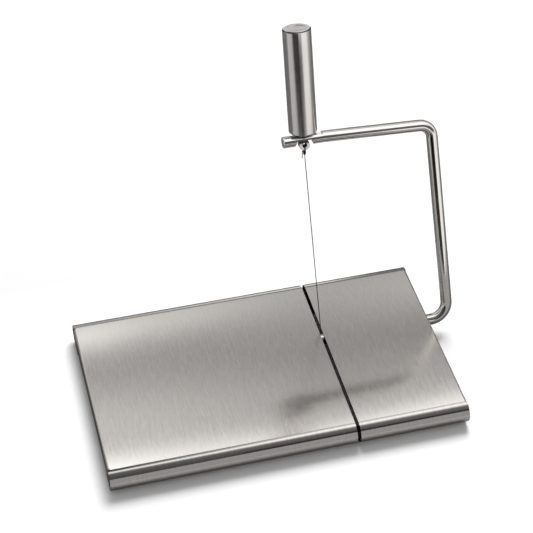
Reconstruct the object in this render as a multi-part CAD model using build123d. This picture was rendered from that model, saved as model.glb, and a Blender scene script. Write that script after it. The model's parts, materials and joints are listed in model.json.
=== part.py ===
from build123d import *
import os
from math import acos, atan2, cos, degrees, hypot, radians, sin, tan

# Board: one bent sheet, rolled under at front and rear, folded down at both ends
board_length = 245.0
board_depth = 150.0
board_height = 17.6
sheet_thickness = 1.0
rim_lip = 10.0
end_flange_height = 12.8
end_bend_radius = 1.5
corner_relief = 0.8

# Slot that the wire drops into, open through both rolled edges
slot_place_share = 0.6845
slot_width = 2.4
slot_end_height = 3.0

# Rubber feet under the lips of the rolled edges
foot_diameter = 9.0
foot_thickness = 1.2
foot_edge_radius = 0.4
foot_inset = 14.0

# Pivot: the rod's lower leg, lying in lined saddles under the sheet
rod_diameter = 8.0
rod_headroom = 0.3
pivot_setback = 18.6
running_clearance = 0.05
notch_clearance = 0.5
bush_wall = 1.5
bush_lip = 0.8
bush_lip_thickness = 0.8
bracket_thickness = 1.2
bracket_length = 18.0
bracket_flange = 8.0
bracket_bend_radius = 1.0
left_bracket_gap = 11.0
right_bracket_gap = 9.0

# Cross pins in the lower leg: they trap the left saddle and stop the arm
pin_diameter = 2.5
pin_reach = 7.0
pin_chamfer = 0.3
pin_side_gap = 0.2
pin_stop_gap = 0.2
pressed_clearance = 0.02

# Arm: one rod bent twice, seen in the plane in which it lies
arm_lean_angle = 22.5
riser_outset = 15.9
riser_length = 143.1
riser_tilt_angle = 1.4
top_leg_angle = 2.7
lower_bend_radius = 12.0
upper_bend_radius = 9.0
neck_bend_radius = 30.0
rod_inner_end = 4.0
rod_end_chamfer = 0.6

# Milled seat at the rod's upper end: a flat for the grip and a notch for the eye
seat_twist_angle = 6.4
seat_neck = 13.8
seat_shoulder = 13.0
seat_flat_left = 9.8
seat_stub = 14.6
seat_top = 2.8
seat_floor = 0.6
eye_notch_floor = 10.5
eye_notch_mouth = 14.4
seat_hole_diameter = 4.4

# Grip, its end cap, its threaded plug and the washer under it
washer_diameter = 8.0
washer_thickness = 3.0
thrust_clearance = 0.05
grip_diameter = 19.2
grip_length = 72.8
grip_wall = 1.6
grip_chamfer = 0.8
cap_thickness = 4.0
cap_dish_diameter = 12.0
cap_dish_depth = 0.25
plug_length = 16.0

# Eyebolt that the grip draws up: a short barrel with a hole through it, on a shank
shank_diameter = 3.9
shank_length = 17.0
shank_chamfer = 0.5
eye_diameter = 7.4
eye_hole_diameter = 3.0
eye_depth = 5.2
eye_edge_radius = 0.3
eye_gap = 0.2
eye_travel = 1.05

# Cutting wire, its loop through the eye, its tail and its lower stop
wire_diameter = 0.6
wire_hole_diameter = 1.0
loop_clearance = 0.5
loop_spare = 1.0
loop_taper = 2.4
loop_bend_radius = 0.8
knot_diameter = 1.4
knot_height = 1.3
tail_offset = 1.6
tail_rise = 0.4
tail_length = 3.2
tail_bend_radius = 0.6
ferrule_diameter = 2.4
ferrule_length = 3.0
ferrule_edge_radius = 0.4
ferrule_gap = 0.1

# Length by which cutting tools pass through a face
overrun = 2.0

# Places worked out from the sizes above
rod_radius = rod_diameter / 2
rim_radius = (board_height - foot_thickness) / 2
rim_centre_height = foot_thickness + rim_radius
rim_centre_y = board_depth / 2 - rim_radius
sheet_underside = board_height - sheet_thickness
slot_x = board_length * slot_place_share - board_length / 2
board_end = board_length / 2
pivot_height = sheet_underside - rod_headroom - rod_radius
bush_bore_radius = rod_radius + running_clearance
bush_radius = bush_bore_radius + bush_wall
bracket_radius = bush_radius + bracket_thickness
left_bracket_x = slot_x - left_bracket_gap - bracket_length
right_bracket_x = board_end - sheet_thickness - right_bracket_gap - bracket_length
bush_overhang = bush_lip_thickness + running_clearance
riser_x = board_end + riser_outset
eye_centre = seat_floor - eye_gap - eye_diameter / 2
eye_wall = (eye_diameter - eye_hole_diameter) / 2
eye_bar = eye_centre - (eye_diameter - eye_wall) / 2
grip_base = seat_top + washer_thickness + thrust_clearance
plug_diameter = grip_diameter - 2 * grip_wall
plug_bore_diameter = shank_diameter + 2 * running_clearance


def arm_corners():
    """Corners of the rod's centreline: x along the board, y up the arm from the pivot."""
    riser_top_x = riser_x - riser_length * tan(radians(riser_tilt_angle))
    neck_x = slot_x + seat_neck
    seat_reach = riser_length + (riser_top_x - neck_x) * tan(radians(top_leg_angle))
    lower_end = left_bracket_x - bush_overhang - pin_side_gap - pin_diameter - rod_inner_end
    return [
        (lower_end, 0),
        (riser_x, 0),
        (riser_top_x, riser_length),
        (neck_x, seat_reach),
        (slot_x - seat_stub, seat_reach),
    ]


# Frames: the arm's turns about the pivot, the seat's follows the grip's axis,
# and the wire's has its origin in the middle of the eye's lower wall
seat_reach = arm_corners()[-1][1]
arm_frame = Location((0, pivot_setback, pivot_height), (-arm_lean_angle, 0, 0))
seat_frame = arm_frame * Location((slot_x, 0, seat_reach), (seat_twist_angle, 0, 0))
bar_offset = -eye_bar * sin(radians(seat_twist_angle))
bar_reach = seat_reach + eye_bar * cos(radians(seat_twist_angle))
wire_lean = degrees(atan2(bar_offset, bar_reach))
wire_length = hypot(bar_offset, bar_reach)
loop_straight = eye_travel + loop_spare
knot_place = -loop_straight - loop_taper
wire_frame = arm_frame * Location((slot_x, bar_offset, bar_reach), (-wire_lean, 0, 0))


def block(low, high):
    """Box between two corners."""
    size = [b - a for a, b in zip(low, high)]
    return Pos(*low) * Box(*size, align=(Align.MIN, Align.MIN, Align.MIN))


def rod(diameter, length, centring=Align.MIN):
    """Upright cylinder that starts at the origin."""
    return Cylinder(diameter / 2, length, align=(Align.CENTER, Align.CENTER, centring))


def rolled_profile():
    """Cross-section of the rolled sheet, in the YZ plane."""
    outer = SlotOverall(board_depth, 2 * rim_radius)
    inner = SlotOverall(board_depth - 2 * sheet_thickness, 2 * (rim_radius - sheet_thickness))
    opening_width = 2 * (rim_centre_y - rim_lip)
    opening = Pos(0, -rim_radius) * Rectangle(opening_width, 2 * rim_radius)
    return Plane.YZ * (Pos(0, rim_centre_height) * (outer - inner - opening))


def end_flange():
    """Folded end at +X: a quarter bend and a flat wall, in one length along Y."""
    bend_x = board_end - end_bend_radius
    bend_z = board_height - end_bend_radius
    inner_radius = end_bend_radius - sheet_thickness
    corner = Pos(end_bend_radius / 2, end_bend_radius / 2) * Rectangle(end_bend_radius, end_bend_radius)
    quarter = (Circle(end_bend_radius) - Circle(inner_radius)) & corner
    wall_height = end_flange_height - end_bend_radius
    wall_place = Pos(end_bend_radius - sheet_thickness / 2, -wall_height / 2)
    wall = wall_place * Rectangle(sheet_thickness, wall_height)
    width = 2 * (rim_centre_y - corner_relief)
    section = Plane.XZ * (Pos(bend_x, bend_z) * (quarter + wall))
    return extrude(section, width / 2, both=True)


def board_plate():
    """Rolled sheet with both folded ends, the wire's slot and the notch that the rod leaves by."""
    sheet = Pos(-board_end, 0, 0) * extrude(rolled_profile(), board_length)
    flange = end_flange()
    fold_start = board_end - end_bend_radius
    clearing = block(
        (fold_start, -rim_centre_y, rim_centre_height),
        (board_end + overrun, rim_centre_y, board_height + overrun),
    )
    plate = sheet - clearing - clearing.mirror(Plane.YZ)
    plate += flange + flange.mirror(Plane.YZ)
    half_slot = slot_width / 2
    slot_bottom = slot_end_height + half_slot
    reach = board_depth / 2 + overrun
    slot = block(
        (slot_x - half_slot, -reach, slot_bottom),
        (slot_x + half_slot, reach, board_height + overrun),
    )
    slot_end = Pos(slot_x, 0, slot_bottom) * Rot(90, 0, 0) * rod(slot_width, 2 * reach, Align.CENTER)
    half_notch = rod_radius + notch_clearance
    notch_top = pivot_height + rod_radius + rod_headroom / 2
    notch = block(
        (board_end - end_bend_radius - overrun, pivot_setback - half_notch, 0),
        (board_end + overrun, pivot_setback + half_notch, notch_top),
    )
    return plate - slot - slot_end - notch


def foot():
    """Round rubber pad with a softened lower edge, standing on the origin."""
    pad = rod(foot_diameter, foot_thickness)
    return fillet(pad.edges().group_by(Axis.Z)[0], foot_edge_radius)


def feet():
    """Four pads by the corners of the lips."""
    across = board_end - foot_inset
    along = rim_centre_y - rim_lip / 2
    places = {
        "front_left": (-across, -along),
        "front_right": (across, -along),
        "rear_left": (-across, along),
        "rear_right": (across, along),
    }
    return {"foot_" + name: Pos(x, y, 0) * foot() for name, (x, y) in places.items()}


def saddle_section(radius):
    """Half round below the pivot's axis, straight up to the sheet."""
    rise = sheet_underside - pivot_height
    upper_half = Pos(0, radius) * Rectangle(2 * radius, 2 * radius)
    sides = Pos(0, rise / 2) * Rectangle(2 * radius, rise)
    return Circle(radius) - upper_half + sides


def along_pivot(section, start, length):
    """Section drawn about the pivot's axis, drawn out along X."""
    return Pos(start, pivot_setback, pivot_height) * extrude(Plane.YZ * section, length)


def pivot_bush(start):
    """Open liner that the rod turns in, with a lip round each end of its saddle."""
    liner = saddle_section(bush_radius)
    lip = saddle_section(bush_radius + bush_lip)
    body = along_pivot(liner, start - bush_overhang, bracket_length + 2 * bush_overhang)
    for place in (start - bush_overhang, start + bracket_length + running_clearance):
        body += along_pivot(lip, place, bush_lip_thickness)
    bore = saddle_section(bush_bore_radius)
    return body - along_pivot(bore, start - bush_overhang, bracket_length + 2 * bush_overhang)


def pivot_bracket(start):
    """Pressed saddle: a trough round the liner and two flanges against the sheet."""
    rise = sheet_underside - pivot_height
    span = 2 * (bracket_radius + bracket_flange)
    flanges = Pos(0, rise - bracket_thickness / 2) * Rectangle(span, bracket_thickness)
    section = saddle_section(bracket_radius) + flanges
    trough_reach = bracket_radius + pressed_clearance
    inside_bends = [v for v in section.vertices() if abs(v.X) < trough_reach and v.Y > 0]
    section = fillet(inside_bends, bracket_bend_radius)
    return along_pivot(section - saddle_section(bush_radius), start, bracket_length)


def pin_angle():
    """Turn of the pins from straight up towards the front, at which they all but touch the sheet."""
    half = pin_diameter / 2
    headroom = sheet_underside - pivot_height - pin_stop_gap
    return degrees(atan2(half, pin_reach) + acos(headroom / hypot(half, pin_reach)))


def pin_locations():
    """Frames of the two pins, each with Z out of the rod."""
    offset = bush_overhang + pin_side_gap + pin_diameter / 2
    places = {"left": left_bracket_x - offset, "right": left_bracket_x + bracket_length + offset}
    turn = (pin_angle(), 0, 0)
    return {side: Location((x, pivot_setback, pivot_height), turn) for side, x in places.items()}


def stop_pins():
    """Pins flush with the rod at the back and proud of it at the front."""
    pin = Pos(0, 0, -rod_radius) * rod(pin_diameter, rod_radius + pin_reach)
    pin = chamfer(pin.edges().group_by(Axis.Z)[-1], pin_chamfer)
    return {"stop_pin_" + side: place * pin for side, place in pin_locations().items()}


def seat_cuts():
    """What is milled off the rod's upper end, in the seat's frame."""
    flat = block((-seat_flat_left, -rod_diameter, seat_top), (seat_shoulder, rod_diameter, rod_diameter))
    mouth = rod_radius + overrun
    outline = Polyline(
        (-eye_notch_floor / 2, seat_floor),
        (eye_notch_floor / 2, seat_floor),
        (eye_notch_mouth / 2, -mouth),
        (-eye_notch_mouth / 2, -mouth),
        close=True,
    )
    notch = extrude(Plane.XZ * make_face(outline), rod_diameter, both=True)
    hole = rod(seat_hole_diameter, 2 * rod_diameter, Align.CENTER)
    return flat + notch + hole


def arm_rod():
    """Bent rod with its chamfered ends, milled seat, pin holes and wire hole."""
    radii = [lower_bend_radius, upper_bend_radius, neck_bend_radius]
    path = Plane.XZ * FilletPolyline(*arm_corners(), radius=radii)
    start = Plane(path @ 0, z_dir=path % 0)
    bar = sweep(start * Circle(rod_radius), path=path)
    tips = [edge for face in bar.faces().filter_by(GeomType.PLANE) for edge in face.edges()]
    bar = arm_frame * chamfer(tips, rod_end_chamfer)
    bar -= seat_frame * seat_cuts()
    for place in pin_locations().values():
        bar -= place * rod(pin_diameter + 2 * pressed_clearance, 3 * rod_radius, Align.CENTER)
    wire_hole = rod(wire_hole_diameter, rod_diameter + overrun, Align.CENTER)
    return bar - wire_frame * Pos(0, 0, -wire_length) * wire_hole


def handle_washer():
    """Plain washer on the seat."""
    disc = rod(washer_diameter, washer_thickness) - rod(seat_hole_diameter, washer_thickness)
    return seat_frame * Pos(0, 0, seat_top) * disc


def handle_tube():
    """Tube of the grip, with a chamfer round each outer edge."""
    tube = rod(grip_diameter, grip_length)
    rims = tube.edges().filter_by(GeomType.CIRCLE)
    tube = chamfer(rims, grip_chamfer)
    return seat_frame * Pos(0, 0, grip_base) * (tube - rod(plug_diameter, grip_length))


def handle_cap():
    """Turned disc that closes the grip's top, with a shallow dish."""
    disc = rod(plug_diameter - 2 * pressed_clearance, cap_thickness)
    dish = Pos(0, 0, cap_thickness - cap_dish_depth) * rod(cap_dish_diameter, cap_dish_depth)
    return seat_frame * Pos(0, 0, grip_base + grip_length - cap_thickness) * (disc - dish)


def handle_insert():
    """Plug in the grip's lower end that takes the eyebolt's shank."""
    plug = rod(plug_diameter - 2 * pressed_clearance, plug_length) - rod(plug_bore_diameter, plug_length)
    return seat_frame * Pos(0, 0, grip_base) * plug


def eyebolt():
    """Eye that the wire loops through, with its shank up into the grip."""
    eye = rod(eye_diameter, eye_depth, Align.CENTER) - rod(eye_hole_diameter, eye_depth, Align.CENTER)
    eye = fillet(eye.edges().filter_by(GeomType.CIRCLE), eye_edge_radius)
    root = eye_centre + eye_diameter / 2 - eye_wall * 3 / 4
    shank = Pos(0, 0, root) * rod(shank_diameter, shank_length)
    shank = chamfer(shank.edges().group_by(Axis.Z)[-1], shank_chamfer)
    return seat_frame * (Pos(0, 0, eye_centre) * Rot(90, 0, 0) * eye + shank)


def wire_loop():
    """Long loop round the eye's lower wall, closed at the knot, in the wire's frame."""
    stand_off = wire_diameter / 2 + loop_clearance
    half_width = eye_depth / 2 + stand_off
    top = eye_wall / 2 + stand_off
    join = wire_diameter / 2
    corners = [
        (-join, knot_place),
        (-half_width, -loop_straight),
        (-half_width, top),
        (half_width, top),
        (half_width, -loop_straight),
        (join, knot_place),
    ]
    path = Plane.YZ * FilletPolyline(*corners, radius=loop_bend_radius)
    start = Plane(path @ 0, z_dir=path % 0)
    return sweep(start * Circle(wire_diameter / 2), path=path)


def wire_tail():
    """Short free end beside the wire, below the knot, in the wire's frame."""
    corners = [
        (0, knot_place),
        (-tail_offset, knot_place + tail_rise),
        (-tail_offset, knot_place - tail_length),
    ]
    path = Plane.XZ * FilletPolyline(*corners, radius=tail_bend_radius)
    start = Plane(path @ 0, z_dir=path % 0)
    return sweep(start * Circle(wire_diameter / 2), path=path)


def cutting_wire():
    """Straight wire from its stop below the rod up to the knot, with the loop and the tail."""
    lower_end = -wire_length - rod_radius - ferrule_gap - ferrule_length
    straight = Pos(0, 0, lower_end) * rod(wire_diameter, knot_place - lower_end)
    barrel = Pos(0, 0, knot_place - knot_height / 2) * rod(knot_diameter, knot_height)
    barrel = fillet(barrel.edges().filter_by(GeomType.CIRCLE), knot_diameter / 4)
    return wire_frame * (straight + barrel + wire_loop() + wire_tail())


def wire_ferrule():
    """Crimped sleeve that holds the wire's end below the rod."""
    top = -wire_length - rod_radius - ferrule_gap
    sleeve = Pos(0, 0, top - ferrule_length) * rod(ferrule_diameter, ferrule_length)
    sleeve = fillet(sleeve.edges().filter_by(GeomType.CIRCLE), ferrule_edge_radius)
    bore = Pos(0, 0, top - ferrule_length) * rod(wire_diameter + 2 * pressed_clearance, ferrule_length)
    return wire_frame * (sleeve - bore)


def all_parts():
    """Every piece under its node's name."""
    parts = {
        "board_plate": board_plate(),
        "pivot_bracket_left": pivot_bracket(left_bracket_x),
        "pivot_bracket_right": pivot_bracket(right_bracket_x),
        "pivot_bush_left": pivot_bush(left_bracket_x),
        "pivot_bush_right": pivot_bush(right_bracket_x),
        "arm_rod": arm_rod(),
        "cutting_wire": cutting_wire(),
        "wire_ferrule": wire_ferrule(),
        "handle_washer": handle_washer(),
        "handle_tube": handle_tube(),
        "handle_cap": handle_cap(),
        "handle_insert": handle_insert(),
        "eyebolt": eyebolt(),
    }
    parts.update(feet())
    parts.update(stop_pins())
    return parts


def centred(parts):
    """The pieces with the origin on the table, under the middle of the whole slicer."""
    middle = Compound(list(parts.values())).bounding_box().center()
    return {name: Pos(-middle.X, -middle.Y, 0) * solid for name, solid in parts.items()}


os.makedirs("parts", exist_ok=True)
for name, solid in centred(all_parts()).items():
    solid.label = name
    export_step(solid, os.path.join("parts", name + ".step"))
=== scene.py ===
"""Looks of a wire slicer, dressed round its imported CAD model."""

import json
import math

import bmesh
import bpy
from bpy.props import FloatProperty, FloatVectorProperty, PointerProperty
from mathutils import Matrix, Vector


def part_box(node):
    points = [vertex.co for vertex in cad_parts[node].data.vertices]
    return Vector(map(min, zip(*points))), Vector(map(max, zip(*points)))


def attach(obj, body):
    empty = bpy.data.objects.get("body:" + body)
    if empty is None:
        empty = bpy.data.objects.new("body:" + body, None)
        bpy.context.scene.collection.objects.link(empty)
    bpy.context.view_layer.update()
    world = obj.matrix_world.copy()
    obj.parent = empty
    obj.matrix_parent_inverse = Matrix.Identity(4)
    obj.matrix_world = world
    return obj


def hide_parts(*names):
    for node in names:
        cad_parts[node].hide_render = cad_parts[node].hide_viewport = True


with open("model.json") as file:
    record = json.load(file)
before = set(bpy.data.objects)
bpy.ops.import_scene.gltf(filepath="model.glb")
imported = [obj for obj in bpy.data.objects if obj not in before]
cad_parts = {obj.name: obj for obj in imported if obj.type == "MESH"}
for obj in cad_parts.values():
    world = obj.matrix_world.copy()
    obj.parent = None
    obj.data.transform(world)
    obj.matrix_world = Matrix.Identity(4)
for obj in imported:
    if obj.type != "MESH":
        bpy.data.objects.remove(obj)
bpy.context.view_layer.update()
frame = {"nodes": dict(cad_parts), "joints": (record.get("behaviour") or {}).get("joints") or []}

bl_info = {
    "name": "Wire Cheese Slicer",
    "version": (1, 0, 0),
    "blender": (4, 5, 0),
    "location": "3D View > Sidebar > Slicer",
    "description": "Steel finishes, wound cutting wire and studio for a wire cheese slicer",
    "category": "Object",
}

MM = 0.001
SIDEBAR = "Slicer"

HANDLE_TURN = next(joint for joint in frame["joints"] if joint["name"] == "handle_turn")
SEAT = Vector(HANDLE_TURN["pos_m"])
GRIP_AXIS = Vector(HANDLE_TURN["axis"]).normalized()
# Turn that brings a pattern's Z onto the grip's axis
GRIP_TILT = (-math.atan2(GRIP_AXIS.y, GRIP_AXIS.z), 0, 0)

SADDLES = ("pivot_bracket_left", "pivot_bracket_right")
LINERS = ("pivot_bush_left", "pivot_bush_right")
FEET = ("foot_front_left", "foot_front_right", "foot_rear_left", "foot_rear_right")
PINS = ("stop_pin_left", "stop_pin_right")

# Colour and roughness of the pieces that have no setting of their own
SADDLE_STEEL = (0.52, 0.515, 0.51), 0.32
WELD_STEEL = (0.42, 0.39, 0.36), 0.35
PIN_STEEL = (0.58, 0.575, 0.57), 0.2
# The washer's near-black colour is painted shade: it stands in for the shadow under the grip
WASHER_SHADE_STEEL = (0.07, 0.068, 0.066), 0.3
PLUG_STEEL = (0.50, 0.49, 0.48), 0.35
EYE_STEEL = (0.72, 0.70, 0.68), 0.18
WIRE_STEEL = (0.045, 0.044, 0.043), 0.32
CAP_ROUGHNESS = 0.28
# Moulded ones have the size and depth of their grain as well
LINER_NYLON = (0.78, 0.76, 0.70), 0.42, 0.5 * MM, 0.004 * MM
FOOT_RUBBER = (0.022, 0.022, 0.023), 0.65, 0.35 * MM, 0.02 * MM

# Dark colours laid over a finish, with alpha: painted shade on the rod's flat and in the eye, a painted
# dark reflection on the grip's rim, and black
FLAT_SHADE_COLOUR = (0.02, 0.019, 0.018, 1.0)
RIM_REFLECTION_COLOUR = (0.06, 0.056, 0.053, 1.0)
EYE_SHADE_COLOUR = (0.012, 0.010, 0.009, 1.0)
BLACK = (0.0, 0.0, 0.0, 1.0)

# Size of one feature of each pattern
CLOUD_SIZE = 45 * MM
HAZE_SIZE = 9 * MM
GRAIN_SIZE = 0.6 * MM
RING_SIZE = 0.45 * MM
DUST_SIZE = 6 * MM
GRIP_STREAK = (20 * MM, 20 * MM, 0.35 * MM)
MILL_LINE = 0.4 * MM

# Depth of each pattern's relief
BRUSH_DEPTH = 0.0009 * MM
POLISH_DEPTH = 0.0006 * MM
LATHE_DEPTH = 0.004 * MM

# Parts of a noise's range that are stretched to the whole
WIDE = (0.25, 0.75)
NARROW = (0.3, 0.7)

# Soft edges of the dark shade on the flat: beyond its radius, below its face, and behind its front lip
FLAT_OUTSIDE = 0.6 * MM
FLAT_BELOW = (0.5 * MM, 0.2 * MM)
FLAT_LIP_Y = (-2.4 * MM, -1.7 * MM)
# Soft edges of the painted dark reflection on the rim's chamfer, as shares of its width down from the
# grip's top
RIM_FOOT = (1.0, 0.85)
RIM_TOP = (0.15, 0.05)
# Soft edges of the painted shade: beyond the eye's bore, and up its shoulders, where little stays unshaded
BORE_OUTSIDE = (0.02 * MM, 0.25 * MM)
SHOULDER_Z = (0.9 * MM, 1.9 * MM)
SHOULDER_UNSHADED = 0.12
EYE_SHADE_ROUGHNESS = 0.7


# Node helpers

def node(tree, kind, inputs=None, **settings):
    """New shader node, with values or links for its inputs."""
    made = tree.nodes.new(kind)
    for name, value in settings.items():
        setattr(made, name, value)
    for name, value in (inputs or {}).items():
        if isinstance(value, bpy.types.NodeSocket):
            tree.links.new(value, made.inputs[name])
        else:
            made.inputs[name].default_value = value
    return made


def maths(tree, operation, *values):
    """Result of a Math node."""
    return node(tree, "ShaderNodeMath", dict(enumerate(values)), operation=operation).outputs[0]


def product(tree, first, *others):
    """All values multiplied."""
    for other in others:
        first = maths(tree, "MULTIPLY", first, other)
    return first


def spread(tree, value, low, high, start=0.0, end=1.0):
    """Goes from low to high as a value goes from start to end, and stays level beyond."""
    inputs = {"Value": value, "From Min": start, "From Max": end, "To Min": low, "To Max": high}
    return node(tree, "ShaderNodeMapRange", inputs).outputs["Result"]


def rise(tree, value, start, end):
    """Goes from 0 to 1 as a value goes from start to end."""
    return spread(tree, value, 0.0, 1.0, start, end)


def fall(tree, value, start, end):
    """Goes from 1 to 0 as a value goes from start to end."""
    return spread(tree, value, 1.0, 0.0, start, end)


def finish(name, colour, metallic, roughness):
    """Material with a Principled shader, and its tree and shader."""
    material = bpy.data.materials.new(name)
    material.use_nodes = True
    shader = material.node_tree.nodes["Principled BSDF"]
    shader.inputs["Base Color"].default_value = (*colour, 1.0)
    shader.inputs["Metallic"].default_value = metallic
    shader.inputs["Roughness"].default_value = roughness
    return material, material.node_tree, shader


def glowing(name, strength):
    """Material that only glows, and its tree and shader."""
    material = bpy.data.materials.new(name)
    material.use_nodes = True
    tree = material.node_tree
    tree.nodes.clear()
    shader = node(tree, "ShaderNodeEmission", {"Strength": strength})
    node(tree, "ShaderNodeOutputMaterial", {"Surface": shader.outputs[0]})
    return material, tree, shader


def object_space(tree):
    """Object coordinates of the piece."""
    return node(tree, "ShaderNodeTexCoord").outputs["Object"]


def pattern_space(tree, size, centre=(0, 0, 0), turn=(0, 0, 0)):
    """Object coordinates in cells of the given size, about a centre and turned with the piece."""
    inputs = {"Vector": object_space(tree), "Location": centre, "Rotation": turn, "Scale": size}
    return node(tree, "ShaderNodeMapping", inputs, vector_type="TEXTURE").outputs[0]


def axes(tree, space):
    """The three coordinates of a space."""
    split = node(tree, "ShaderNodeSeparateXYZ", {"Vector": space})
    return [split.outputs[axis] for axis in "XYZ"]


def grip_axes(tree, centre):
    """The three coordinates about a centre, in metres, with Z along the grip."""
    return axes(tree, pattern_space(tree, (1, 1, 1), centre, GRIP_TILT))


def radius(tree, first, second):
    """Distance from an axis, by the two coordinates across it."""
    square = maths(tree, "MULTIPLY_ADD", first, first, maths(tree, "MULTIPLY", second, second))
    return maths(tree, "SQRT", square)


def noise(tree, space, detail=2.0, roughness=0.5):
    """Noise with one feature to each cell of the space."""
    inputs = {"Vector": space, "Scale": 1.0, "Detail": detail, "Roughness": roughness}
    return node(tree, "ShaderNodeTexNoise", inputs).outputs["Fac"]


def blended(tree, amount, first, second):
    """Colour between two colours or links."""
    mix = node(tree, "ShaderNodeMix", {"Factor": amount}, data_type="RGBA")
    for socket, value in zip([s for s in mix.inputs if s.type == "RGBA"], (first, second)):
        if isinstance(value, bpy.types.NodeSocket):
            tree.links.new(value, socket)
        else:
            socket.default_value = value
    return [s for s in mix.outputs if s.type == "RGBA"][0]


def tinted(tree, shader, colour, amount, depth):
    """Base colour that goes darker and lighter by a depth with an amount from 0 to 1."""
    dark = [c * (1 - depth) for c in colour] + [1.0]
    light = [min(1.0, c * (1 + depth)) for c in colour] + [1.0]
    tree.links.new(blended(tree, amount, dark, light), shader.inputs["Base Color"])


def darken(material, amount, colour):
    """Lays a dark colour over a tinted finish, by an amount from 0 to 1: painted shade and painted dark
    reflections.
    """
    tree = material.node_tree
    base = tree.nodes["Principled BSDF"].inputs["Base Color"]
    tree.links.new(blended(tree, amount, base.links[0].from_socket, colour), base)


def gloss(tree, shader, value, low, high, start=0.0, end=1.0):
    """Roughness that goes from low to high as a value goes from start to end."""
    tree.links.new(spread(tree, value, low, high, start, end), shader.inputs["Roughness"])


def relief(tree, shader, height, depth):
    """Bump of a real depth in metres."""
    inputs = {"Height": height, "Distance": depth, "Strength": 1.0}
    bump = node(tree, "ShaderNodeBump", inputs).outputs[0]
    tree.links.new(bump, shader.inputs["Normal"])


def brush_across(tree, shader, direction, amount):
    """Widens the gloss across brush lines; direction is the one they cross, in the piece's space."""
    if not isinstance(direction, bpy.types.NodeSocket):
        direction = tuple(direction)
    turned = node(
        tree, "ShaderNodeVectorTransform", {"Vector": direction},
        vector_type="VECTOR", convert_from="OBJECT", convert_to="WORLD",
    ).outputs[0]
    tree.links.new(turned, shader.inputs["Tangent"])
    shader.inputs["Anisotropic"].default_value = amount


def ramp(tree, value, stops):
    """Grey levels along a value from 0 to 1."""
    made = node(tree, "ShaderNodeValToRGB", {"Fac": value})
    made.color_ramp.interpolation = "LINEAR"
    elements = made.color_ramp.elements
    while len(elements) > 1:
        elements.remove(elements[-1])
    for index, (place, level) in enumerate(stops):
        element = elements[0] if index == 0 else elements.new(place)
        element.position = place
        element.color = (level, level, level, 1.0)
    return made.outputs["Color"]


# Finishes

def brushed_finish(name, colour, roughness, streak, across, turn=(0, 0, 0), depth=0.06):
    """Steel with fine straight brush lines; streak is the size of one line as a cell."""
    material, tree, shader = finish(name, colour, 1.0, roughness)
    fine = noise(tree, pattern_space(tree, streak, turn=turn), 2.0, 0.6)
    cloud = noise(tree, pattern_space(tree, (CLOUD_SIZE,) * 3), 2.0)
    tinted(tree, shader, colour, rise(tree, fine, *WIDE), depth)
    grain = maths(tree, "MULTIPLY_ADD", fine, 0.7, maths(tree, "MULTIPLY", cloud, 0.3))
    gloss(tree, shader, grain, 0.85 * roughness, 1.2 * roughness, *WIDE)
    relief(tree, shader, fine, BRUSH_DEPTH)
    brush_across(tree, shader, across, 0.85)
    return material


def polished_finish(name, colour, roughness):
    """Bright steel with faint handling haze."""
    material, tree, shader = finish(name, colour, 1.0, roughness)
    haze = noise(tree, pattern_space(tree, (HAZE_SIZE,) * 3), 3.0)
    grain = noise(tree, pattern_space(tree, (GRAIN_SIZE,) * 3), 2.0)
    tinted(tree, shader, colour, rise(tree, haze, *NARROW), 0.03)
    gloss(tree, shader, haze, 0.75 * roughness, 1.5 * roughness, *NARROW)
    relief(tree, shader, grain, POLISH_DEPTH)
    return material


def rod_finish(name, colour, roughness, centre, flat, grip):
    """Bright steel, with painted shade on the flat under the grip except along the flat's front lip."""
    material = polished_finish(name, colour, roughness)
    tree = material.node_tree
    x, y, z = grip_axes(tree, centre)
    under = product(
        tree,
        fall(tree, radius(tree, y, x), grip, grip + FLAT_OUTSIDE),
        rise(tree, z, *(flat - below for below in FLAT_BELOW)),
        rise(tree, y, *FLAT_LIP_Y))
    # Painted shade: the flat is darkened where the grip's shadow falls on it
    darken(material, under, FLAT_SHADE_COLOUR)
    return material


def grip_finish(name, colour, roughness, centre, top, width):
    """Satin steel brushed round the grip, with a painted dark reflection on the chamfer round its top."""
    material = brushed_finish(name, colour, roughness, GRIP_STREAK, GRIP_AXIS, GRIP_TILT, 0.05)
    tree = material.node_tree
    height = grip_axes(tree, centre)[2]
    rim = product(
        tree,
        rise(tree, height, *(top - share * width for share in RIM_FOOT)),
        fall(tree, height, *(top - share * width for share in RIM_TOP)))
    # Painted dark reflection on the chamfer round the grip's top
    darken(material, rim, RIM_REFLECTION_COLOUR)
    return material


def eye_finish(name, colour, roughness, centre, bore):
    """Bright steel with painted shade in the bore of the eye and on its shoulders."""
    material, tree, shader = finish(name, colour, 1.0, roughness)
    x, _, z = grip_axes(tree, centre)
    unshaded = product(
        tree,
        rise(tree, radius(tree, z, x), *(bore + outside for outside in BORE_OUTSIDE)),
        spread(tree, z, 1.0, SHOULDER_UNSHADED, *SHOULDER_Z))
    # Painted shade in the bore and on the shoulders, where the rod shades the eye
    tree.links.new(blended(tree, unshaded, EYE_SHADE_COLOUR, (*colour, 1.0)), shader.inputs["Base Color"])
    gloss(tree, shader, unshaded, EYE_SHADE_ROUGHNESS, roughness)
    return material


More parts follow.
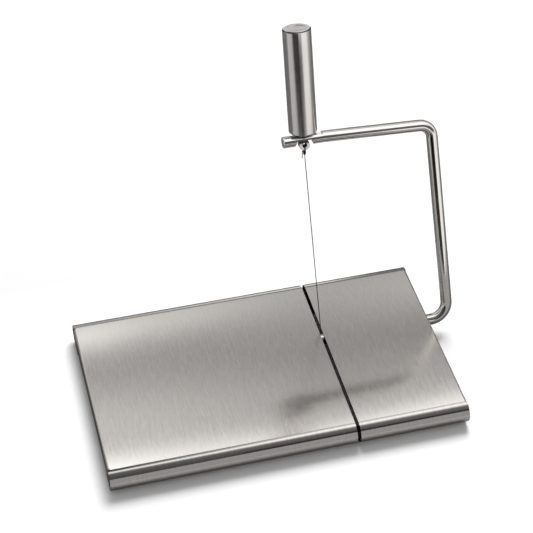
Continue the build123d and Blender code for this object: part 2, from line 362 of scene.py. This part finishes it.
def turned_finish(name, colour, roughness, centre):
    """Steel faced on a lathe: fine rings about the grip's axis."""
    material, tree, shader = finish(name, colour, 1.0, roughness)
    x, y, _ = grip_axes(tree, centre)
    inputs = {"W": maths(tree, "DIVIDE", radius(tree, y, x), RING_SIZE), "Scale": 1.0, "Detail": 2.0}
    rings = node(tree, "ShaderNodeTexNoise", inputs, noise_dimensions="1D").outputs["Fac"]
    tinted(tree, shader, colour, rise(tree, rings, *NARROW), 0.08)
    gloss(tree, shader, rings, 0.7 * roughness, 1.3 * roughness, *NARROW)
    relief(tree, shader, rings, LATHE_DEPTH)
    inputs = {0: object_space(tree), 1: centre}
    outward = node(tree, "ShaderNodeVectorMath", inputs, operation="SUBTRACT")
    brush_across(tree, shader, outward.outputs[0], 0.7)
    return material


def moulded_finish(name, colour, roughness, grain_size, grain_depth):
    """Rubber or plastic with a fine moulded grain and a little dust."""
    material, tree, shader = finish(name, colour, 0.0, roughness)
    grain = noise(tree, pattern_space(tree, (grain_size,) * 3), 3.0)
    dust = noise(tree, pattern_space(tree, (DUST_SIZE,) * 3), 2.0)
    tinted(tree, shader, colour, rise(tree, dust, *NARROW), 0.12)
    gloss(tree, shader, dust, 0.9 * roughness, 1.1 * roughness)
    relief(tree, shader, grain, grain_depth)
    return material


def dress(names, material):
    """Gives CAD nodes their material."""
    for name in names:
        slots = frame["nodes"][name].data.materials
        slots.clear()
        slots.append(material)


# Pieces

FLANGE_THICKNESS = 1.2 * MM
WELD_INSET = 3.6 * MM
WELD_PLACES = (0.25, 0.75)
# Steps inwards over a weld mark: a share of its diameter, then the step down as a share of its height
WELD_RINGS = ((0.12, -1.0), (0.14, 0.0), (0.14, 0.7))
WINDING_STEPS = 10
STRAIGHT_UNDER_KNOT = 6 * MM


def scene_object(name, data):
    """New object in the scene."""
    made = bpy.data.objects.new(name, data)
    bpy.context.scene.collection.objects.link(made)
    return made


def mesh_object(name, shape, material):
    """Object at the origin from a bmesh."""
    mesh = bpy.data.meshes.new(name)
    shape.to_mesh(mesh)
    shape.free()
    mesh.materials.append(material)
    return scene_object(name, mesh)


def mesh_piece(name, shape, material, body):
    """Object at the origin from a bmesh, riding on a body."""
    piece = mesh_object(name, shape, material)
    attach(piece, body)
    return piece


def weld_mark(shape, place, diameter, height):
    """Shallow pressed ring with a sunk middle, facing down at a place."""
    made = bmesh.ops.create_circle(shape, cap_ends=True, segments=24, radius=diameter / 2)
    face = made["verts"][0].link_faces[0]
    bmesh.ops.translate(shape, verts=made["verts"], vec=place)
    for share, step in WELD_RINGS:
        bmesh.ops.inset_region(shape, faces=[face], thickness=share * diameter, use_even_offset=True)
        bmesh.ops.translate(shape, verts=face.verts, vec=(0, 0, step * height))


def wire_route(settings, bar, foot):
    """Control points of the wire: up from its stop, round the eye, wound on itself and out as a tail."""
    up = (bar - foot).normalized()
    side = Vector((1, 0, 0))
    back = up.cross(side)
    half, low, knot = settings.loop_width / 2, settings.loop_straight, settings.loop_drop
    top, join = settings.loop_top, settings.wire_diameter / 2
    stop = -(bar - foot).length - settings.stop_depth
    points = [(0, 0, stop), (0, 0, -knot - STRAIGHT_UNDER_KNOT), (0, 0, -knot)]
    points += [(0, -half, -low), (0, -half, top - MM), (0, -half, top), (0, -half + MM, top)]
    points += [(0, half - MM, top), (0, half, top), (0, half, top - MM), (0, half, -low)]
    count = int(settings.turns * WINDING_STEPS)
    start = low + settings.winding_gap
    across = settings.wire_diameter * settings.helix_ease
    points.append((0, across, -start - settings.winding_length))
    for i in range(count + 1):
        angle = math.pi / 2 + 2 * math.pi * i / WINDING_STEPS
        drop = start + settings.winding_length * (1 - i / count)
        leg = join + (half - join) * max(0.0, 1 - (drop - low) / (knot - low))
        points.append((across * math.cos(angle), (leg + across) * math.sin(angle), -drop))
    length = settings.tail_length
    tail = ((0.7, 0.2 * MM), (0.72, -0.5 * MM), (0.85, -0.5 * length), (1.0, -length))
    points += [(-share * settings.tail_offset, 0, height - start) for share, height in tail]
    return [bar + side * x + back * y + up * z for x, y, z in points]


def wire_piece(name, points, diameter, material):
    """Round wire along control points."""
    curve = bpy.data.curves.new(name, "CURVE")
    curve.dimensions = "3D"
    curve.bevel_depth = diameter / 2
    curve.bevel_resolution = 3
    curve.resolution_u = 4
    curve.use_fill_caps = True
    spline = curve.splines.new("NURBS")
    spline.points.add(len(points) - 1)
    for point, place in zip(spline.points, points):
        point.co = (*place, 1.0)
    spline.order_u = 3
    spline.use_endpoint_u = True
    curve.materials.append(material)
    return scene_object(name, curve)


# Studio

# Brightness of the light tent by angle in degrees, from the rear horizon over the top to the front
# horizon. The levels were set by comparing tones in the photograph's view.
TENT_PEAK = 4.0
HALF_TURN = 180
TENT_LEFT = (
    (0, 0.50), (30, 0.45), (40, 0.60), (42.2, 1.00), (43.2, 2.00), (44, 1.35), (44.9, 0.76), (45.8, 0.55),
    (46.6, 0.50), (47.4, 0.53), (48.5, 0.62), (50, 0.79), (52, 0.93), (53, 0.93), (54.6, 0.80),
    (55.4, 0.86), (56.2, 1.75), (57, 3.10), (57.6, 2.60), (58.3, 0.02), (78, 0.02), (83, 0.60), (88, 1.50),
    (93, 1.20), (98, 0.55), (103, 0.24), (112, 0.15), (140, 0.10), (150, 0.05), (160, 0.15), (180, 0.45),
)
TENT_RIGHT = (
    (0, 0.35), (8, 1.10), (25, 1.20), (29, 0.25), (38, 0.15), (41, 0.52), (42.5, 0.85), (45.3, 0.72),
    (46.2, 0.58), (48, 0.39), (49, 0.38), (51, 0.47), (53, 0.60), (55, 0.63), (56.3, 0.55), (57.2, 1.80),
    (58.4, 2.60), (60, 0.50), (66, 0.60), (74, 1.20), (82, 1.80), (90, 1.60), (97, 0.95), (102, 0.58),
    (109, 0.24), (125, 0.16), (140, 0.13), (151, 0.07), (160, 0.20), (180, 0.50),
)
# Brightness low at the front, by place across in tent radii, from left to right
TENT_FRONT = (
    (-1.0, 0.70), (-0.92, 0.70), (-0.85, 0.62), (-0.80, 0.48), (-0.74, 0.22), (-0.66, 0.05), (-0.20, 0.03),
    (-0.12, 0.10), (-0.05, 0.20), (0.02, 0.32), (0.10, 0.45), (0.20, 0.72), (0.30, 1.00), (0.42, 1.20),
    (0.80, 1.25), (0.93, 1.10), (0.985, 0.60), (1.0, 0.40),
)

# Soft edges of the tent's parts, each from start to end: X, Y and Z in tent radii, angles in half turns
SIDES_BLEND_X = (-0.15, 0.25)
LOW_TOP_Z = (0.33, 0.40)
LOW_REAR_Y = (0.1, 0.3)
STRIP_DARKNESS = 0.95
STRIP_FOOT_Z = (0.17, 0.20)
STRIP_LEFT_X = (-0.76, -0.66)
STRIP_RIGHT_X = (0.34, 0.44)
SHADE_DARKNESS = 0.21
SHADE_LEFT_X = (-0.14, -0.04)
SHADE_RIGHT_X = (0.28, 0.44)
SHADE_START = (42.3 / HALF_TURN, 43.3 / HALF_TURN)
SHADE_END = (46.0 / HALF_TURN, 47.5 / HALF_TURN)
REAR_DARKNESS = 0.85
REAR_LEFT_X = (0.29, 0.34)
REAR_END = (26 / HALF_TURN, 29 / HALF_TURN)

# Size of the table and the soft edges on it, in metres
TABLE_SIZE = 6.0
TABLE_REAR_Y = (0.05, 0.12)
MIRRORED_FRONT_Y = (-0.14, -0.04)
MIRRORED_SIDE_X = (-0.33, -0.24)
MIRRORED_SIDE_Y = (0.06, 0.16)

# Upright cards: name, setting of its brightness, (left, right, bottom, top), and Y
CARDS = (
    ("black_flag", "flag_level", (-0.03, 0.155, 0.047, 0.098), -0.16),
    ("grey_card", "card_level", (-0.30, 0.30, 0.0, 0.045), -0.135),
    ("white_card", "white_level", (0.03, 0.24, 0.225, 0.42), -0.012),
)

LAMP_PLACE = (0.50, 1.12, 1.80)
LAMP_SIZE = 1.2


def stage_piece(name, shape, material):
    """Part of the studio, which isn't part of the slicer."""
    piece = mesh_object(name, shape, material)
    return piece


def mirror_only(piece):
    """Leaves a studio piece to be seen in the steel alone."""
    piece.visible_camera = False
    piece.visible_diffuse = False
    piece.visible_shadow = False
    piece.visible_transmission = False


def tent_finish(settings):
    """Glow of the light tent: bands over the top, other levels low at the front, and dark patches."""
    material, tree, shader = glowing("light_tent", TENT_PEAK)
    x, y, z = axes(tree, pattern_space(tree, (settings.tent_radius,) * 3))
    angle = maths(tree, "DIVIDE", maths(tree, "ARCTAN2", z, y), math.pi)
    left, right = (
        ramp(tree, angle, [(a / HALF_TURN, level / TENT_PEAK) for a, level in bands])
        for bands in (TENT_LEFT, TENT_RIGHT)
    )
    over = blended(tree, rise(tree, x, *SIDES_BLEND_X), left, right)
    shade = product(
        tree, spread(tree, x, 0.0, SHADE_DARKNESS, *SHADE_LEFT_X), fall(tree, x, *SHADE_RIGHT_X),
        rise(tree, angle, *SHADE_START), fall(tree, angle, *SHADE_END))
    rear = product(
        tree, spread(tree, x, 0.0, REAR_DARKNESS, *REAR_LEFT_X), fall(tree, angle, *REAR_END))
    over = blended(tree, maths(tree, "MAXIMUM", shade, rear), over, BLACK)
    width = rise(tree, x, -1.0, 1.0)
    front = ramp(tree, width, [((a + 1) / 2, level / TENT_PEAK) for a, level in TENT_FRONT])
    low = product(tree, fall(tree, z, *LOW_TOP_Z), fall(tree, y, *LOW_REAR_Y))
    tone = blended(tree, low, over, front)
    strip = product(
        tree, spread(tree, z, 0.0, STRIP_DARKNESS, *STRIP_FOOT_Z), fall(tree, z, *LOW_TOP_Z),
        rise(tree, x, *STRIP_LEFT_X), fall(tree, x, *STRIP_RIGHT_X), fall(tree, y, *LOW_REAR_Y))
    tree.links.new(blended(tree, strip, tone, BLACK), shader.inputs["Color"])
    return material


def studio_card(name, level, span, place):
    """Upright card of one brightness, seen in the steel alone."""
    material, _, shader = glowing(name, 1.0)
    shader.inputs["Color"].default_value = (level, level, level, 1.0)
    left, right, low, high = span
    card = bmesh.new()
    corners = ((left, low), (right, low), (right, high), (left, high))
    card.faces.new([card.verts.new((x, place, z)) for x, z in corners])
    mirror_only(stage_piece(name, card, material))


def floor_finish(settings):
    """White table, less bright to the rear; greyer and by place where steel mirrors it."""
    material, tree, shader = finish("table_white", (settings.floor_level,) * 3, 0.0, 0.9)
    x, y, _ = axes(tree, object_space(tree))
    front = spread(tree, y, settings.mirrored_front, settings.mirrored_rear, *MIRRORED_FRONT_Y)
    side = product(
        tree, spread(tree, x, settings.mirrored_side, 0.0, *MIRRORED_SIDE_X),
        fall(tree, y, *MIRRORED_SIDE_Y))
    mirrored = maths(tree, "MAXIMUM", front, side)
    seen = spread(tree, y, settings.floor_level, settings.floor_rear, *TABLE_REAR_Y)
    path = node(tree, "ShaderNodeLightPath")
    colour = blended(tree, path.outputs["Is Glossy Ray"], seen, mirrored)
    tree.links.new(colour, shader.inputs["Base Color"])
    shader.inputs["Specular IOR Level"].default_value = 0.0
    return material


def white_world(settings):
    """White surroundings for the eye and even light for the object."""
    world = bpy.data.worlds.new("studio_white")
    bpy.context.scene.world = world
    world.use_nodes = True
    tree = world.node_tree
    background = tree.nodes["Background"]
    background.inputs["Color"].default_value = (1, 1, 1, 1)
    path = node(tree, "ShaderNodeLightPath")
    seen = maths(tree, "MAXIMUM", path.outputs["Is Camera Ray"], path.outputs["Is Transmission Ray"])
    strength = spread(tree, seen, settings.world_level, 1.0)
    tree.links.new(strength, background.inputs["Strength"])


def soft_lamp(name, place, aim, size, watts):
    """Square lamp that casts light and shadow but isn't mirrored."""
    lamp = bpy.data.lights.new(name, "AREA")
    lamp.size = size
    lamp.energy = watts
    holder = scene_object(name, lamp)
    holder.location = place
    holder.rotation_euler = (Vector(aim) - Vector(place)).to_track_quat("-Z", "Y").to_euler()
    holder.visible_glossy = False


def camera_at(settings):
    """Camera at the photograph's viewing angle."""
    turn, tilt = settings.camera_azimuth, settings.camera_elevation
    back = Vector((math.sin(turn) * math.cos(tilt), -math.cos(turn) * math.cos(tilt), math.sin(tilt)))
    data = bpy.data.cameras.new("photo_view")
    data.sensor_width = 36.0
    data.lens = settings.camera_lens
    data.clip_start = 0.05
    holder = scene_object("photo_view", data)
    holder.location = Vector(settings.camera_aim) + back * settings.camera_distance
    holder.rotation_euler = back.to_track_quat("Z", "Y").to_euler()
    bpy.context.scene.camera = holder


# Sizes and colours that a user may change

class SlicerBoardSettings(bpy.types.PropertyGroup):
    colour: FloatVectorProperty(
        name="Steel", description="Colour of the board's steel", subtype="COLOR", size=3,
        default=(0.60, 0.572, 0.546), min=0, max=1)
    roughness: FloatProperty(
        name="Roughness", description="How soft the board's gloss is", default=0.15, min=0, max=1)
    line_width: FloatProperty(
        name="Brush line", description="Width of one brush line", default=0.8 * MM, unit="LENGTH")
    line_length: FloatProperty(
        name="Line length", description="Length of one brush line", default=7 * MM, unit="LENGTH")
    weld_diameter: FloatProperty(
        name="Weld mark", description="Diameter of a spot-weld mark", default=3.6 * MM, unit="LENGTH")
    weld_height: FloatProperty(
        name="Weld height", description="How far a weld mark's rim stands out", default=0.12 * MM,
        unit="LENGTH")


class SlicerArmSettings(bpy.types.PropertyGroup):
    colour: FloatVectorProperty(
        name="Rod", description="Colour of the polished rod", subtype="COLOR", size=3,
        default=(0.68, 0.656, 0.625), min=0, max=1)
    roughness: FloatProperty(
        name="Roughness", description="How soft the rod's gloss is", default=0.10, min=0, max=1)
    flat_height: FloatProperty(
        name="Flat", description="From the seat's centre up to the flat under the grip",
        default=2.8 * MM, unit="LENGTH")
    # The dark flat is painted shade under the grip
    grip_radius: FloatProperty(
        name="Dark flat", description="Radius of the dark part of the flat under the grip",
        default=9.0 * MM, unit="LENGTH")


class SlicerGripSettings(bpy.types.PropertyGroup):
    colour: FloatVectorProperty(
        name="Grip", description="Colour of the grip's steel", subtype="COLOR", size=3,
        default=(0.645, 0.62, 0.598), min=0, max=1)
    roughness: FloatProperty(
        name="Roughness", description="How soft the grip's gloss is", default=0.17, min=0, max=1)
    # The rim settings place the painted dark reflection on the grip's chamfer
    rim_height: FloatProperty(
        name="Rim height", description="From the seat's centre up to the grip's rim",
        default=78.65 * MM, unit="LENGTH")
    rim_width: FloatProperty(
        name="Rim", description="Height of the chamfer round the grip's rim", default=0.8 * MM,
        unit="LENGTH")


class SlicerWireSettings(bpy.types.PropertyGroup):
    wire_diameter: FloatProperty(
        name="Wire", description="Diameter of the cutting wire", default=0.6 * MM, unit="LENGTH")
    bar_drop: FloatProperty(
        name="Bar drop", description="From the seat's centre down to the middle of the eye's lower wall",
        default=5.9 * MM, unit="LENGTH")
    bore: FloatProperty(
        name="Bore", description="Radius of the hole through the eye", default=1.5 * MM, unit="LENGTH")
    eye_drop: FloatProperty(
        name="Eye drop", description="From the seat's centre down to the eye's centre",
        default=3.3 * MM, unit="LENGTH")
    stop_depth: FloatProperty(
        name="Stop depth", description="Wire below the middle of its lower stop", default=1.5 * MM,
        unit="LENGTH")
    loop_width: FloatProperty(
        name="Loop", description="Width of the loop round the eye", default=6.8 * MM, unit="LENGTH")
    loop_top: FloatProperty(
        name="Loop top", description="From the wall's middle up to the loop's top",
        default=1.9 * MM, unit="LENGTH")
    loop_straight: FloatProperty(
        name="Loop legs", description="Straight part of the loop's legs below the wall's middle",
        default=2.05 * MM, unit="LENGTH")
    loop_drop: FloatProperty(
        name="Loop drop", description="From the wall's middle down to where the legs meet",
        default=4.45 * MM, unit="LENGTH")
    turns: FloatProperty(
        name="Turns", description="Turns of the winding round the legs", default=4.25)
    winding_gap: FloatProperty(
        name="Winding gap", description="From the end of the straight legs down to the first turn",
        default=0.6 * MM, unit="LENGTH")
    winding_length: FloatProperty(
        name="Winding", description="Length of the winding", default=2.1 * MM, unit="LENGTH")
    helix_ease: FloatProperty(
        name="Ease", description="Reach of the winding's control points, as a share of the wire",
        default=1.08)
    tail_offset: FloatProperty(
        name="Tail offset", description="How far the tail stands off the wire", default=2.0 * MM,
        unit="LENGTH")
    tail_length: FloatProperty(
        name="Tail", description="Length of the tail, from the top of the winding", default=4.6 * MM,
        unit="LENGTH")


class SlicerStageSettings(bpy.types.PropertyGroup):
    camera_azimuth: FloatProperty(
        name="Azimuth", description="The camera's turn round the slicer",
        default=math.radians(-14.351), subtype="ANGLE", unit="ROTATION")
    camera_elevation: FloatProperty(
        name="Elevation", description="The camera's height above the horizon",
        default=math.radians(42.767), subtype="ANGLE", unit="ROTATION")
    camera_distance: FloatProperty(
        name="Distance", description="From the aim to the camera", default=1.14687, unit="LENGTH")
    camera_aim: FloatVectorProperty(
        name="Aim", description="Point that the camera looks at", size=3, subtype="XYZ",
        unit="LENGTH", default=(0.0041, 0.03723, 0.0587))
    camera_lens: FloatProperty(
        name="Lens", description="Focal length in millimetres on a 36 mm sensor", default=111.45)
    tent_radius: FloatProperty(
        name="Light tent", description="Radius of the light tent that the steel mirrors",
        default=0.6, unit="LENGTH")
    floor_level: FloatProperty(
        name="Table", description="Whiteness of the table", default=0.95, min=0, max=1)
    floor_rear: FloatProperty(
        name="Table rear", description="Whiteness of the table behind the board",
        default=0.78, min=0, max=1)
    mirrored_front: FloatProperty(
        name="Mirrored front", description="Whiteness of the table's front as steel mirrors it",
        default=0.50, min=0, max=1)
    mirrored_rear: FloatProperty(
        name="Mirrored rear", description="Whiteness of the table's rear as steel mirrors it",
        default=0.15, min=0, max=1)
    mirrored_side: FloatProperty(
        name="Mirrored side", description="Whiteness of the table's left side as steel mirrors it",
        default=0.60, min=0, max=1)
    card_level: FloatProperty(
        name="Grey card", description="Brightness of the low card before the board's front edge",
        default=0.43, min=0, max=1)
    white_level: FloatProperty(
        name="White card", description="Brightness of the card above the arm's rod",
        default=1.6, min=0, max=4)
    flag_level: FloatProperty(
        name="Black flag", description="Brightness of the dark card before the riser",
        default=0.04, min=0, max=1)
    world_level: FloatProperty(
        name="Surroundings", description="Strength of the even light", default=0.42)
    lamp_watts: FloatProperty(
        name="Lamp", description="Power of the soft lamp", default=52.0, unit="POWER")


# One operator for each piece or group of like pieces

class SLICER_OT_board(bpy.types.Operator):
    """Brush the board and finish the saddles, liners and feet under it"""
    bl_idname = "slicer.board"
    bl_label = "Board"

    def execute(self, context):
        s = context.scene.slicer_board
        streak = (s.line_width, s.line_length, s.line_length)
        board = brushed_finish("board_brushed", s.colour, s.roughness, streak, (1, 0, 0), depth=0.07)
        dress(["board_plate"], board)
        streak = (s.line_length, MILL_LINE, MILL_LINE)
        dress(SADDLES, brushed_finish("saddle_mill", *SADDLE_STEEL, streak, (0, 1, 0)))
        dress(LINERS, moulded_finish("liner_nylon", *LINER_NYLON))
        dress(FEET, moulded_finish("foot_rubber", *FOOT_RUBBER))
        shape = bmesh.new()
        for name in SADDLES:
            low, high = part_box(name)
            flange_face = high.z - FLANGE_THICKNESS
            for share in WELD_PLACES:
                for y in (low.y + WELD_INSET, high.y - WELD_INSET):
                    place = (low.x + share * (high.x - low.x), y, flange_face)
                    weld_mark(shape, place, s.weld_diameter, s.weld_height)
        bmesh.ops.recalc_face_normals(shape, faces=shape.faces)
        mark = polished_finish("weld_tint", *WELD_STEEL)
        mesh_piece("saddle_weld_marks", shape, mark, "base")
        return {"FINISHED"}


class SLICER_OT_arm(bpy.types.Operator):
    """Polish the arm's rod with painted shade on its flat under the grip, polish its pins and the wire's
    stop, and paint the washer near-black as shade under the grip
    """
    bl_idname = "slicer.arm"
    bl_label = "Arm"

    def execute(self, context):
        s = context.scene.slicer_arm
        rod = rod_finish("rod_polished", s.colour, s.roughness, SEAT, s.flat_height, s.grip_radius)
        dress(["arm_rod"], rod)
        dress([*PINS, "wire_ferrule"], polished_finish("pin_bright", *PIN_STEEL))
        # Painted shade: the washer is near-black to read as the shadow under the grip
        dress(["handle_washer"], polished_finish("washer_painted_shade", *WASHER_SHADE_STEEL))
        return {"FINISHED"}


class SLICER_OT_grip(bpy.types.Operator):
    """Brush the grip, paint a dark reflection on its rim and give its cap and plug the rings of a lathe"""
    bl_idname = "slicer.grip"
    bl_label = "Grip"

    def execute(self, context):
        s = context.scene.slicer_grip
        satin = grip_finish("grip_satin", s.colour, s.roughness, SEAT, s.rim_height, s.rim_width)
        dress(["handle_tube"], satin)
        dress(["handle_cap"], turned_finish("cap_turned", s.colour, CAP_ROUGHNESS, SEAT))
        dress(["handle_insert"], turned_finish("plug_turned", *PLUG_STEEL, SEAT))
        return {"FINISHED"}


class SLICER_OT_wire(bpy.types.Operator):
    """Finish the eyebolt and wind the cutting wire round its eye in place of the plain CAD wire"""
    bl_idname = "slicer.wire"
    bl_label = "Cutting wire"

    def execute(self, context):
        s = context.scene.slicer_wire
        bar = SEAT - GRIP_AXIS * s.bar_drop
        eye = SEAT - GRIP_AXIS * s.eye_drop
        dress(["eyebolt"], eye_finish("eye_steel", *EYE_STEEL, eye, s.bore))
        low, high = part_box("wire_ferrule")
        route = wire_route(s, bar, (low + high) / 2)
        material = polished_finish("wire_drawn", *WIRE_STEEL)
        piece = wire_piece("wound_wire", route, s.wire_diameter, material)
        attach(piece, "arm")
        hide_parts("cutting_wire")
        return {"FINISHED"}


class SLICER_OT_stage(bpy.types.Operator):
    """Set up the white table, the light tent, the cards, the lamp and the camera"""
    bl_idname = "slicer.stage"
    bl_label = "Studio"

    def execute(self, context):
        s = context.scene.slicer_stage
        context.scene.view_settings.view_transform = "Standard"
        camera_at(s)
        white_world(s)
        table = bmesh.new()
        bmesh.ops.create_grid(table, x_segments=1, y_segments=1, size=TABLE_SIZE)
        stage_piece("table", table, floor_finish(s))
        tent = bmesh.new()
        bmesh.ops.create_uvsphere(tent, u_segments=96, v_segments=48, radius=s.tent_radius)
        bmesh.ops.bisect_plane(
            tent, geom=tent.verts[:] + tent.edges[:] + tent.faces[:], plane_co=(0, 0, 0),
            plane_no=(0, 0, 1), clear_inner=True)
        mirror_only(stage_piece("light_tent", tent, tent_finish(s)))
        for name, level, span, place in CARDS:
            studio_card(name, getattr(s, level), span, place)
        soft_lamp("window_lamp", LAMP_PLACE, (0, 0, 0), LAMP_SIZE, s.lamp_watts)
        return {"FINISHED"}


class SLICER_PT_panel(bpy.types.Panel):
    """Lists the slicer's pieces and their settings"""
    bl_idname = "SLICER_PT_panel"
    bl_label = "Wire Cheese Slicer"
    bl_space_type = "VIEW_3D"
    bl_region_type = "UI"
    bl_category = SIDEBAR

    def draw(self, context):
        for name in PIECES:
            box = self.layout.box()
            box.operator("slicer." + name)
            settings = getattr(context.scene, "slicer_" + name)
            for key in settings.__annotations__:
                box.prop(settings, key)


SETTINGS = {
    "slicer_board": SlicerBoardSettings,
    "slicer_arm": SlicerArmSettings,
    "slicer_grip": SlicerGripSettings,
    "slicer_wire": SlicerWireSettings,
    "slicer_stage": SlicerStageSettings,
}
OPERATORS = (SLICER_OT_board, SLICER_OT_arm, SLICER_OT_grip, SLICER_OT_wire, SLICER_OT_stage)
PIECES = [operator.bl_idname.split(".")[1] for operator in OPERATORS]


def register():
    for item in (*SETTINGS.values(), *OPERATORS, SLICER_PT_panel):
        bpy.utils.register_class(item)
    for name, group in SETTINGS.items():
        setattr(bpy.types.Scene, name, PointerProperty(type=group))


def unregister():
    for name in SETTINGS:
        delattr(bpy.types.Scene, name)
    for item in (SLICER_PT_panel, *OPERATORS, *SETTINGS.values()):
        bpy.utils.unregister_class(item)


def main():
    register()
    for name in PIECES:
        getattr(bpy.ops.slicer, name)()


if __name__ == "__main__":
    main()
